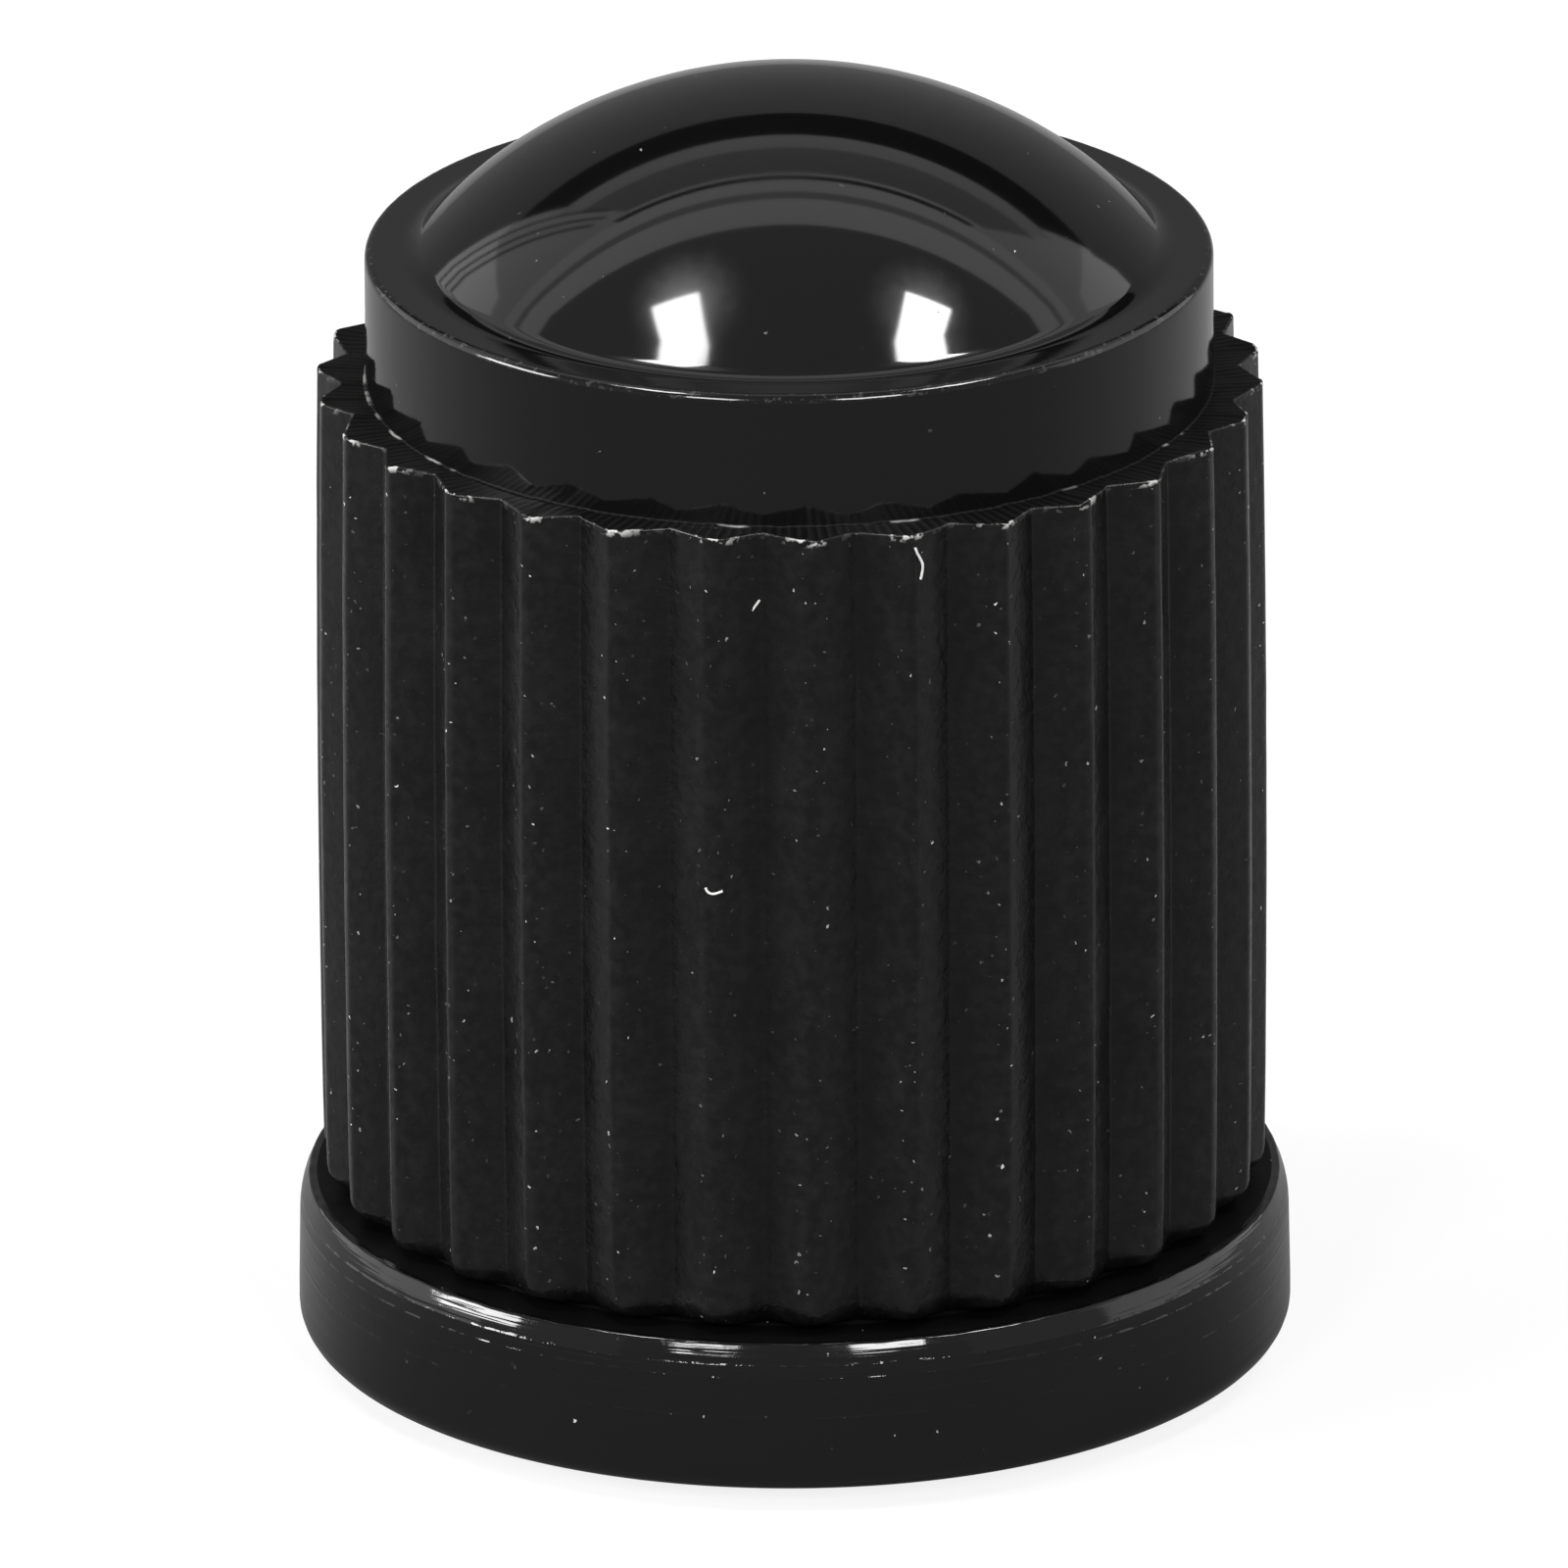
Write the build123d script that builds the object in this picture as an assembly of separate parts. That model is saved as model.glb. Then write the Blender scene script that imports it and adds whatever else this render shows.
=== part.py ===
from build123d import *

import os
from math import pi

# A tyre valve cap, moulded in one piece of black plastic. It stands on its open end with its
# axis along Z: a flange round the mouth, a ribbed grip, a plain collar and a domed top.
# Lengths are in millimetres.

# Bore and walls, from the axis outwards
bore_diameter = 6.90  # over the crests of the inner thread, which takes a 7.7 mm valve stem
lead_in_depth = 0.60  # 45 degree lead-in at the mouth
neck_wall = 1.00  # below the ribs
grip_wall = 1.05  # from the bore to the foot of the ribs
collar_wall = 0.79
flange_reach = 0.28  # how far the flange stands out past the rib crests

# Heights of the zones, from the mouth up
flange_height = 1.58
neck_height = 0.15  # the plain gap between the flange and the lower ends of the ribs
grip_length = 8.345
collar_height = 1.355
dome_height = 1.675

# Ribs of the grip
rib_count = 30
rib_depth = 0.22
rib_crest_width = 0.24
rib_edge_radius = 0.10
valley_width = 0.12  # floor between two ribs
valley_radius = 0.12

# Flange, collar and dome edges
flange_draft = 0.02  # the flange's side leans in by this much up to its shoulder
flange_lean = 0.12  # its top edge lies this far inside its foot
flange_shoulder = 0.45  # height of the curved shoulder below the top edge
flange_foot_radius = 0.24
collar_edge_radius = 0.065
rim_width = 0.48  # from the collar's side to where the dome's curve meets the rim
dome_foot_radius = 0.30

# Blind end of the bore, a cone with a flat top that follows the dome
dome_wall = 1.20
blind_end_rise = 1.30
blind_flat_diameter = 2.40

bore_radius = bore_diameter / 2
neck_radius = bore_radius + neck_wall
valley_floor_radius = bore_radius + grip_wall
crest_radius = valley_floor_radius + rib_depth
flange_radius = crest_radius + flange_reach
collar_radius = bore_radius + collar_wall
dome_base_radius = collar_radius - rim_width

grip_z = flange_height + neck_height
ledge_z = grip_z + grip_length
rim_z = ledge_z + collar_height
top_z = rim_z + dome_height
blind_top_z = top_z - dome_wall
blind_foot_z = blind_top_z - blind_end_rise


def turned(lines, rounded_corners=()):
    """A solid turned about Z from a half section, with the corners given as point and radius rounded."""
    section = make_face(Curve() + lines)
    for point, radius in rounded_corners:
        section = fillet(section.vertices().sort_by_distance(point)[0], radius)
    return revolve(Plane.XZ * section, Axis.Z)


def flange():
    foot = (flange_radius, 0)
    shoulder = (flange_radius - flange_draft, flange_height - flange_shoulder)
    top_edge = (flange_radius - flange_lean, flange_height)
    side_direction = (shoulder[0] - foot[0], shoulder[1] - foot[1])
    lines = [
        Polyline((0, flange_height), (0, 0), foot, shoulder),
        TangentArc(shoulder, top_edge, tangent=side_direction),
        Line(top_edge, (0, flange_height)),
    ]
    return turned(lines, [(foot, flange_foot_radius)])


def rib_section():
    """One rib on the +X side, its flanks carried on a little below the valley floor."""
    pitch = 2 * pi * valley_floor_radius / rib_count
    foot_half = (pitch - valley_width) / 2
    foot_x = (valley_floor_radius**2 - foot_half**2) ** 0.5
    crest_corner = Vector(crest_radius, rib_crest_width / 2)
    foot_corner = Vector(foot_x, foot_half)
    sunk_corner = foot_corner + (foot_corner - crest_corner) / 4
    upper = [crest_corner, sunk_corner]
    lower = [Vector(point.X, -point.Y) for point in reversed(upper)]
    return make_face(Polyline(*upper, *lower, close=True))


def grip():
    """The ribbed outline, drawn up to the ledge, on a plain neck that starts inside the flange."""
    outline = Circle(valley_floor_radius) + PolarLocations(0, rib_count) * rib_section()
    middle_radius = (valley_floor_radius + crest_radius) / 2
    crest_corners = outline.vertices().filter_by(lambda v: Vector(v).length > middle_radius)
    outline = fillet(crest_corners, rib_edge_radius)
    floor_corners = outline.vertices().filter_by(lambda v: Vector(v).length < middle_radius)
    outline = fillet(floor_corners, valley_radius)
    neck_start_z = flange_height / 2
    neck = extrude(Pos(0, 0, neck_start_z) * Circle(neck_radius), ledge_z - grip_length / 2 - neck_start_z)
    return neck + extrude(Pos(0, 0, grip_z) * outline, grip_length)


def collar_and_dome():
    start_z = ledge_z - grip_length / 4
    collar_edge = (collar_radius, rim_z)
    dome_foot = (dome_base_radius, rim_z)
    dome_top = (0, top_z)
    dome_radius = (dome_base_radius**2 + dome_height**2) / (2 * dome_height)
    half_way = dome_base_radius / 2
    half_way_z = top_z - dome_radius + (dome_radius**2 - half_way**2) ** 0.5
    lines = [
        Polyline(dome_top, (0, start_z), (collar_radius, start_z), collar_edge, dome_foot),
        ThreePointArc(dome_foot, (half_way, half_way_z), dome_top),
    ]
    return turned(lines, [(collar_edge, collar_edge_radius), (dome_foot, dome_foot_radius)])


def bore():
    """The hollow for the valve stem: a lead-in that runs on below the mouth, the bore and its blind end."""
    lead_in_top = (bore_radius, lead_in_depth)
    blind_foot = (bore_radius, blind_foot_z)
    below_mouth = (bore_radius + 2 * lead_in_depth, -lead_in_depth)
    flat_edge = (blind_flat_diameter / 2, blind_top_z)
    corners = [(0, blind_top_z), (0, -lead_in_depth), below_mouth, lead_in_top, blind_foot, flat_edge]
    return turned([Polyline(*corners, close=True)])


valve_cap = flange() + grip() + collar_and_dome() - bore()
os.makedirs("parts", exist_ok=True)
export_step(valve_cap, "parts/valve_cap.step")
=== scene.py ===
import math

import bpy
from mathutils import Matrix, Vector


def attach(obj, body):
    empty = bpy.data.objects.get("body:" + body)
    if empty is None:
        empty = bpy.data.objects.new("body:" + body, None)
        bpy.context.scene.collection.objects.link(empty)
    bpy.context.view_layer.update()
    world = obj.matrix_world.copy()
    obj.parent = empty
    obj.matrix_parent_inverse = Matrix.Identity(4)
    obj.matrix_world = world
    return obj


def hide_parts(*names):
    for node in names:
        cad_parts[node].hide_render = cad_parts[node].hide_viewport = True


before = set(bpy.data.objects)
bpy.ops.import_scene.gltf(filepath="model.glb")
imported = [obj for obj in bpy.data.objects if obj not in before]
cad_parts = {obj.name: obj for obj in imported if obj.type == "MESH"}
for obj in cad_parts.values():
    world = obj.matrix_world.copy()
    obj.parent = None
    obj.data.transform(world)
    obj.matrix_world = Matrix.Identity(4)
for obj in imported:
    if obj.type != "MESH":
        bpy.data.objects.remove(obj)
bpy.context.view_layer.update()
print("frame loaded:", sorted(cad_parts))

mm = 0.001
viewTurn = math.radians(3.7)  # camera and lights stand this far round from the front


# node helpers, used by the shape tree and by the materials

def addNode(tree, kind, **settings):
    node = tree.nodes.new(kind)
    for name, value in settings.items():
        setattr(node, name, value)
    return node


def feed(tree, socket, value):
    if isinstance(value, bpy.types.NodeSocket):
        tree.links.new(value, socket)
    elif value is not None:
        socket.default_value = value


def calc(tree, operation, *values, clamp=False):
    node = addNode(tree, "ShaderNodeMath", operation=operation, use_clamp=clamp)
    for socket, value in zip(node.inputs, values):
        feed(tree, socket, value)
    return node.outputs[0]


def joinXyz(tree, x, y, z):
    node = addNode(tree, "ShaderNodeCombineXYZ")
    for socket, value in zip(node.inputs, (x, y, z)):
        feed(tree, socket, value)
    return node.outputs[0]


def splitXyz(tree, vector):
    node = addNode(tree, "ShaderNodeSeparateXYZ")
    feed(tree, node.inputs[0], vector)
    return node.outputs


def remap(tree, value, fromLow, fromHigh, toLow=0.0, toHigh=1.0, smooth=False):
    node = addNode(tree, "ShaderNodeMapRange", interpolation_type="SMOOTHSTEP" if smooth else "LINEAR")
    for name, number in (("From Min", fromLow), ("From Max", fromHigh), ("To Min", toLow), ("To Max", toHigh)):
        node.inputs[name].default_value = number
    feed(tree, node.inputs["Value"], value)
    return node.outputs["Result"]


# the cap's half section, from the top of the dome down the outside and up the bore

capSection = {  # millimetres
    "topZ": 13.105, "domeBase": 3.76, "domeHeight": 1.675, "domeFootRound": 0.30,
    "collarRadius": 4.24, "rimZ": 11.43, "collarEdgeRound": 0.08, "collarFootRound": 0.018,
    "ledgeZ": 10.075, "valleyRadius": 4.50, "ribEdgeRound": 0.015, "gripZ": 1.63, "ribEndRound": 0.26,
    "gripCrown": 0.03, "ledgeFall": 0.03, "neckRadius": 4.37,
    "flangeRadius": 4.99, "flangeZ": 1.58, "flangeEdgeRadius": 4.875, "flangeEdgeRound": 0.035,
    "flangeSideRadius": 4.972, "flangeShoulderZ": 1.19, "flangeFootRound": 0.24,
    "mouthRadius": 4.05, "threadRadius": 3.87, "boreRadius": 3.45, "threadTopZ": 9.2, "threadRunOut": 0.3,
    "blindFootZ": 10.605, "blindTopZ": 11.905, "blindFlat": 1.2, "boreRound": 0.03,
    "rimStart": 0.03, "collarInset": 0.1, "ribTopBand": 0.07, "neckTop": 0.01, "flangeSideFoot": 0.2,
    "ledgeInner": 4.34, "ledgeOuter": 4.42, "flangeTopInner": 4.65, "flangeTopOuter": 4.80,
}
zones = {"dome": 0, "collar": 1, "ledge": 2, "grip": 3, "recess": 4, "flange": 5, "bore": 6}


def arcPoints(centre, radius, startAngle, endAngle, steps):
    points = []
    for k in range(steps + 1):
        angle = math.radians(startAngle + (endAngle - startAngle) * k / steps)
        points.append((centre[0] + radius * math.cos(angle), centre[1] + radius * math.sin(angle)))
    return points


def roundCorner(before, corner, after, radius, steps, support=0.02):
    # the corner's arc, with a support point on the straight at each end to keep the straights flat
    b, c, a = Vector(before), Vector(corner), Vector(after)
    inWay, outWay = (c - b).normalized(), (a - c).normalized()
    turn = inWay.angle_signed(outWay)
    reach = radius * math.tan(abs(turn) / 2)
    start, end = c - inWay * reach, c + outWay * reach
    hand = 1 if inWay.x * outWay.y - inWay.y * outWay.x > 0 else -1
    side = Vector((-inWay.y, inWay.x)) * hand
    centre = start + side * radius
    first = start - centre
    swing = abs(turn) * hand
    points = [tuple(start - inWay * support)]
    for k in range(steps + 1):
        angle = swing * k / steps
        turned = Vector((first.x * math.cos(angle) - first.y * math.sin(angle),
                         first.x * math.sin(angle) + first.y * math.cos(angle)))
        points.append(tuple(centre + turned))
    points.append(tuple(end + outWay * support))
    return points


def straight(start, end, steps):
    return [(start[0] + (end[0] - start[0]) * k / steps, start[1] + (end[1] - start[1]) * k / steps)
            for k in range(1, steps)]


def capRows(s):
    # radius, height, share of the ribs, zone of the strip that ends here, shares of uneven edge and of nicks with
    # painted glints
    rows = []

    def add(points, zone, ribShare=0.0, edgeShare=0.0, nickShare=0.0):
        for radius, height in points:
            rows.append((radius, height, ribShare, zones[zone], edgeShare, nickShare))

    # dome and the hollow round at its foot
    domeRadius = (s["domeBase"] ** 2 + s["domeHeight"] ** 2) / (2 * s["domeHeight"])
    domeZ = s["topZ"] - domeRadius
    footRound = s["domeFootRound"]
    footZ = s["rimZ"] + footRound
    footR = math.sqrt((domeRadius + footRound) ** 2 - (footZ - domeZ) ** 2)
    domeEnd = math.degrees(math.atan2(footZ - domeZ, footR))
    dome = arcPoints((0, domeZ), domeRadius, 90, domeEnd, 20)
    dome[0] = (0.0, s["topZ"])
    add(dome, "dome")
    add(arcPoints((footR, footZ), footRound, 180 + domeEnd, 270, 9)[1:], "dome")

    # rim, collar and ledge
    collarEdge = (s["collarRadius"], s["rimZ"])
    collarFoot = (s["collarRadius"], s["ledgeZ"] - s["ledgeFall"])
    ribEdge = (s["valleyRadius"], s["ledgeZ"])
    ribFoot = (s["valleyRadius"], s["gripZ"] + s["ribEndRound"])
    add([(footR + s["rimStart"], s["rimZ"])], "dome")
    collarTop = roundCorner((footR, s["rimZ"]), collarEdge, collarFoot, s["collarEdgeRound"], 6)
    add(collarTop[:2], "collar")
    # the rim's round edge gets pale spots that are partly nicks and partly a painted highlight
    add(collarTop[2:-2], "collar", 0.0, 0.06, 0.5)
    add(collarTop[-2:], "collar")
    collarHigh = (s["collarRadius"], s["rimZ"] - s["collarInset"])
    collarLow = (s["collarRadius"], s["ledgeZ"] + s["collarInset"])
    add(straight(collarHigh, collarLow, 4), "collar")
    collarEnd = roundCorner(collarEdge, collarFoot, ribEdge, s["collarFootRound"], 3, 0.01)
    add(collarEnd[:2], "collar", 0.0, 0.3)
    # the collar's foot gets pale dashes: a painted highlight line, partly nicks
    add(collarEnd[2:-1], "ledge", 0.0, 0.3, 1.0)
    add(collarEnd[-1:], "ledge", 0.0, 0.3)
    add([(s["ledgeInner"], s["ledgeZ"] - 0.6 * s["ledgeFall"])], "ledge", 0.2, 0.4)
    add([(s["ledgeOuter"], s["ledgeZ"] - 0.3 * s["ledgeFall"])], "ledge", 0.6, 0.7)

    # ribbed grip, its lower ends rounded off above a plain neck
    ribTop = roundCorner(collarFoot, ribEdge, ribFoot, s["ribEdgeRound"], 3, 0.012)
    add(ribTop[:1], "ledge", 1.0, 1.0)
    # the rib tops' edges get pale spots, partly burrs and partly painted glints, strongest on the crests
    add(ribTop[1:], "grip", 1.0, 1.0, 1.0)
    add([(s["valleyRadius"], s["ledgeZ"] - s["ribTopBand"])], "grip", 1.0, 0.85)
    middle, half = (s["ledgeZ"] + s["gripZ"]) / 2, (s["ledgeZ"] - s["gripZ"]) / 2
    add([(r + s["gripCrown"] * (1 - ((z - middle) / half) ** 2), z)
         for r, z in straight(ribEdge, ribFoot, 20)], "grip", 1.0)
    endSteps = 6
    for k in range(endSteps + 1):
        angle = math.pi / 2 * k / endSteps
        fall = (s["valleyRadius"] - s["neckRadius"]) * (1 - math.cos(angle))
        add([(s["valleyRadius"] - fall, s["gripZ"] + s["ribEndRound"] * (1 - math.sin(angle)))], "grip",
            math.sqrt(math.cos(angle)) if k < endSteps else 0.0, 0.25)
    add([(s["neckRadius"], s["gripZ"] - s["neckTop"]), (s["neckRadius"], s["flangeZ"])], "recess")

    # flange: flat top, leaning shoulder, side and foot
    flangeEdge = (s["flangeEdgeRadius"], s["flangeZ"])
    shoulder = Vector((s["flangeSideRadius"], s["flangeShoulderZ"]))
    foot = Vector((s["flangeRadius"], 0.0))
    side = (shoulder - foot).normalized()
    chord = Vector(flangeEdge) - shoulder
    lean = abs(side.angle_signed(chord.normalized()))
    bendRadius = chord.length / (2 * math.sin(lean))
    inward = Vector((-side.y, side.x))
    bendCentre = shoulder + inward * bendRadius
    sideAngle = math.degrees(math.atan2(-inward.y, -inward.x))
    bend = arcPoints(bendCentre, bendRadius, sideAngle + math.degrees(2 * lean), sideAngle, 6)
    topOuter = (s["flangeTopOuter"], s["flangeZ"])
    add([(s["flangeTopInner"], s["flangeZ"]), topOuter], "recess")
    add(roundCorner(topOuter, flangeEdge, bend[1], s["flangeEdgeRound"], 4, 0.01), "flange", edgeShare=0.2)
    add(bend[2:], "flange")
    add(straight(shoulder, (s["flangeRadius"], s["flangeSideFoot"]), 4), "flange")
    add(roundCorner(tuple(shoulder), tuple(foot), (s["mouthRadius"], 0.0), s["flangeFootRound"], 7), "flange")

    # mouth, threaded bore and blind end
    mouth = (s["mouthRadius"], 0.0)
    threadFoot = (s["threadRadius"], s["mouthRadius"] - s["threadRadius"])
    threadTop = (s["threadRadius"], s["threadTopZ"])
    boreFoot = (s["boreRadius"], s["threadTopZ"] + s["threadRunOut"])
    blindFoot = (s["boreRadius"], s["blindFootZ"])
    flat = (s["blindFlat"], s["blindTopZ"])
    path = [tuple(foot), mouth, threadFoot, threadTop, boreFoot, blindFoot, flat, (0.0, s["blindTopZ"])]
    for before, corner, after in zip(path, path[1:], path[2:]):
        add(roundCorner(before, corner, after, s["boreRound"], 1, 0.01)[1:], "bore")
    add([(0.0, s["blindTopZ"])], "bore")
    return rows


def makeSectionLine(rows):
    mesh = bpy.data.meshes.new("capHalfSection")
    mesh.from_pydata([(r * mm, 0, z * mm) for r, z, *_ in rows], [(k, k + 1) for k in range(len(rows) - 1)], [])
    for name, column in (("ribShare", 2), ("zone", 3), ("edgeShare", 4), ("nickShare", 5)):
        layer = mesh.attributes.new(name, "FLOAT", "POINT")
        layer.data.foreach_set("value", [row[column] for row in rows])
    return mesh


# one rib's section: x is the place along the pitch, z the share of the rib's depth

ribSizes = {  # millimetres
    "count": 30, "depth": 0.235, "crestWidth": 0.10, "edgeRound": 0.12, "valleyRound": 0.04,
    "waviness": 0.020, "unevenDepth": 0.012, "unevenEdge": 0.16, "noiseRadius": 4.7,
}


def makeRibLine(s):
    pitch = 2 * math.pi * capSection["valleyRadius"] / s["count"]
    crest, middle, depth = s["crestWidth"] / 2, pitch / 2, s["depth"]
    half = [(0.0, depth)] + roundCorner((0, depth), (crest, depth), (middle, 0), s["edgeRound"], 4, 0.015)
    half += roundCorner((crest, depth), (middle, 0), (pitch - crest, depth), s["valleyRound"], 2, 0.02)[:3]
    points = [(-x, h) for x, h in reversed(half[1:])] + half[:-1]
    mesh = bpy.data.meshes.new("ribSection")
    mesh.from_pydata([(x / pitch, 0, h / s["depth"]) for x, h in points],
                     [(k, k + 1) for k in range(len(points) - 1)], [])
    return mesh, len(points)


# the valve thread on the bore's wall, a ridge of this section wound up the bore

threadSizes = {  # millimetres
    "pitch": 0.794, "startZ": 0.62, "turns": 10.4, "rootWidth": 0.66, "crestWidth": 0.16, "crestRound": 0.02,
    "depth": 0.42, "shoulderShare": 0.93, "sunk": 0.04, "stepsPerTurn": 60, "fadeTurns": 0.45,
}


def makeThreadLine(s):
    root, crest, edge = s["rootWidth"] / 2, s["crestWidth"] / 2, s["crestRound"]
    top, shoulder = s["depth"], s["depth"] * s["shoulderShare"]
    points = [(-s["sunk"], -root), (0, -root), (shoulder, -crest - edge), (top, -crest + edge),
              (top, crest - edge), (shoulder, crest + edge), (0, root), (-s["sunk"], root)]
    points.append(points[0])
    mesh = bpy.data.meshes.new("threadSection")
    mesh.from_pydata([(x * mm, 0, z * mm) for x, z in points], [(k, k + 1) for k in range(len(points) - 1)], [])
    return mesh, len(points)


# the shape tree: turns the half section about Z, raises the ribs, winds the thread

def buildCapTree():
    tree = bpy.data.node_groups.new("valveCapShape", "GeometryNodeTree")
    face = tree.interface
    face.new_socket("Half Section", in_out="INPUT", socket_type="NodeSocketGeometry")
    for name, kind in (("Rib Section", "NodeSocketObject"), ("Thread Section", "NodeSocketObject"),
                       ("Rib Count", "NodeSocketInt"), ("Rib Points", "NodeSocketInt"),
                       ("Rib Depth", "NodeSocketFloat"), ("Waviness", "NodeSocketFloat"),
                       ("Uneven Depth", "NodeSocketFloat"), ("Uneven Edge", "NodeSocketFloat"),
                       ("Seed", "NodeSocketFloat"),
                       ("Thread Points", "NodeSocketInt"), ("Thread Radius", "NodeSocketFloat"),
                       ("Thread Pitch", "NodeSocketFloat"), ("Thread Start", "NodeSocketFloat"),
                       ("Thread Turns", "NodeSocketFloat"), ("Thread Fade", "NodeSocketFloat"),
                       ("Steps per Turn", "NodeSocketInt"),
                       ("Dome Finish", "NodeSocketMaterial"), ("Collar Finish", "NodeSocketMaterial"),
                       ("Ledge Finish", "NodeSocketMaterial"), ("Grip Finish", "NodeSocketMaterial"),
                       ("Recess Finish", "NodeSocketMaterial"), ("Flange Finish", "NodeSocketMaterial"),
                       ("Bore Finish", "NodeSocketMaterial")):
        face.new_socket(name, in_out="INPUT", socket_type=kind)
    face.new_socket("Cap", in_out="OUTPUT", socket_type="NodeSocketGeometry")
    given = addNode(tree, "NodeGroupInput").outputs
    index = addNode(tree, "GeometryNodeInputIndex").outputs[0]

    def sample(geometry, value, row, kind="FLOAT"):
        node = addNode(tree, "GeometryNodeSampleIndex", data_type=kind, domain="POINT", clamp=True)
        feed(tree, node.inputs["Geometry"], geometry)
        feed(tree, node.inputs["Value"], value)
        feed(tree, node.inputs["Index"], row)
        return node.outputs[0]

    def named(name):
        node = addNode(tree, "GeometryNodeInputNamedAttribute", data_type="FLOAT")
        node.inputs["Name"].default_value = name
        return node.outputs[0]

    def rowColumn(rowCount):
        column = calc(tree, "FLOOR", calc(tree, "DIVIDE", calc(tree, "ADD", index, 0.5), rowCount))
        row = calc(tree, "SUBTRACT", index, calc(tree, "MULTIPLY", column, rowCount))
        return row, column

    def sheet(columns, rowCount):
        node = addNode(tree, "GeometryNodeMeshGrid")
        feed(tree, node.inputs["Vertices X"], columns)
        feed(tree, node.inputs["Vertices Y"], rowCount)
        return node.outputs["Mesh"]

    def place(geometry, position):
        node = addNode(tree, "GeometryNodeSetPosition")
        feed(tree, node.inputs["Geometry"], geometry)
        feed(tree, node.inputs["Position"], position)
        return node.outputs[0]

    def store(geometry, name, value, domain="POINT"):
        node = addNode(tree, "GeometryNodeStoreNamedAttribute", data_type="FLOAT", domain=domain)
        feed(tree, node.inputs["Geometry"], geometry)
        node.inputs["Name"].default_value = name
        feed(tree, node.inputs["Value"], value)
        return node.outputs[0]

    def sectionOf(name):
        node = addNode(tree, "GeometryNodeObjectInfo")
        feed(tree, node.inputs["Object"], given[name])
        return node.outputs["Geometry"]

    def noise(vector, scale, detail=1.0):
        node = addNode(tree, "ShaderNodeTexNoise", noise_dimensions="4D")
        feed(tree, node.inputs["Vector"], vector)
        feed(tree, node.inputs["W"], given["Seed"])
        node.inputs["Scale"].default_value = scale
        node.inputs["Detail"].default_value = detail
        return calc(tree, "SUBTRACT", node.outputs[0], 0.5)

    def times(*values):
        total = values[0]
        for value in values[1:]:
            total = calc(tree, "MULTIPLY", total, value)
        return total

    spot = addNode(tree, "GeometryNodeInputPosition").outputs[0]
    # body: one column for each rib point, one row for each section point
    size = addNode(tree, "GeometryNodeAttributeDomainSize", component="MESH")
    feed(tree, size.inputs[0], given["Half Section"])
    rowCount = size.outputs["Point Count"]
    columns = calc(tree, "ADD", calc(tree, "MULTIPLY", given["Rib Count"], given["Rib Points"]), 1)
    body = sheet(columns, rowCount)
    row, column = rowColumn(rowCount)
    rib = calc(tree, "FLOOR", calc(tree, "DIVIDE", calc(tree, "ADD", column, 0.5), given["Rib Points"]))
    ribPoint = calc(tree, "SUBTRACT", column, calc(tree, "MULTIPLY", rib, given["Rib Points"]))
    onRib = splitXyz(tree, sample(sectionOf("Rib Section"), spot, ribPoint, "FLOAT_VECTOR"))
    onSection = splitXyz(tree, sample(given["Half Section"], spot, row, "FLOAT_VECTOR"))
    ribShare = sample(given["Half Section"], named("ribShare"), row)
    edgeShare = sample(given["Half Section"], named("edgeShare"), row)
    nickShare = sample(given["Half Section"], named("nickShare"), row)
    strip, _ = rowColumn(calc(tree, "SUBTRACT", rowCount, 1))
    zone = sample(given["Half Section"], named("zone"), calc(tree, "ADD", strip, 1))
    pitchAngle = calc(tree, "DIVIDE", 2 * math.pi, given["Rib Count"])
    # columns follow the rib section on the ribs and are evenly spaced on the turned rows
    even = calc(tree, "SUBTRACT", calc(tree, "DIVIDE", ribPoint, given["Rib Points"]), 0.5)
    changeover = 2.5
    onRibs = calc(tree, "MULTIPLY", ribShare, changeover, clamp=True)
    along = calc(tree, "MULTIPLY_ADD", calc(tree, "SUBTRACT", onRib[0], even), onRibs, even)
    angle = calc(tree, "MULTIPLY", calc(tree, "ADD", rib, along), pitchAngle)
    ringRadius = ribSizes["noiseRadius"] * mm
    ringSpot = joinXyz(tree, times(calc(tree, "COSINE", angle), ringRadius),
                       times(calc(tree, "SINE", angle), ringRadius), onSection[2])
    swayScale, bulgeScale, liftScale = 900.0, 1500.0, 4200.0
    sway = times(noise(ringSpot, swayScale), given["Waviness"], ribShare)
    bulge = times(noise(ringSpot, bulgeScale), given["Uneven Depth"], ribShare)
    lift = times(noise(ringSpot, liftScale, 2.0), given["Uneven Edge"], edgeShare)
    raised = times(onRib[2], given["Rib Depth"], ribShare)
    radius = calc(tree, "ADD", onSection[0], calc(tree, "ADD", raised, bulge))
    swayed = calc(tree, "ADD", angle, calc(tree, "DIVIDE", sway, ringRadius))
    bodySpot = joinXyz(tree, times(radius, calc(tree, "COSINE", swayed)),
                       times(radius, calc(tree, "SINE", swayed)), calc(tree, "ADD", onSection[2], lift))
    onCrest = times(onRib[2], ribShare)
    body = store(store(body, "onCrest", onCrest), "onEdge", nickShare)
    body = place(store(body, "finishZone", zone, "FACE"), bodySpot)

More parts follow.
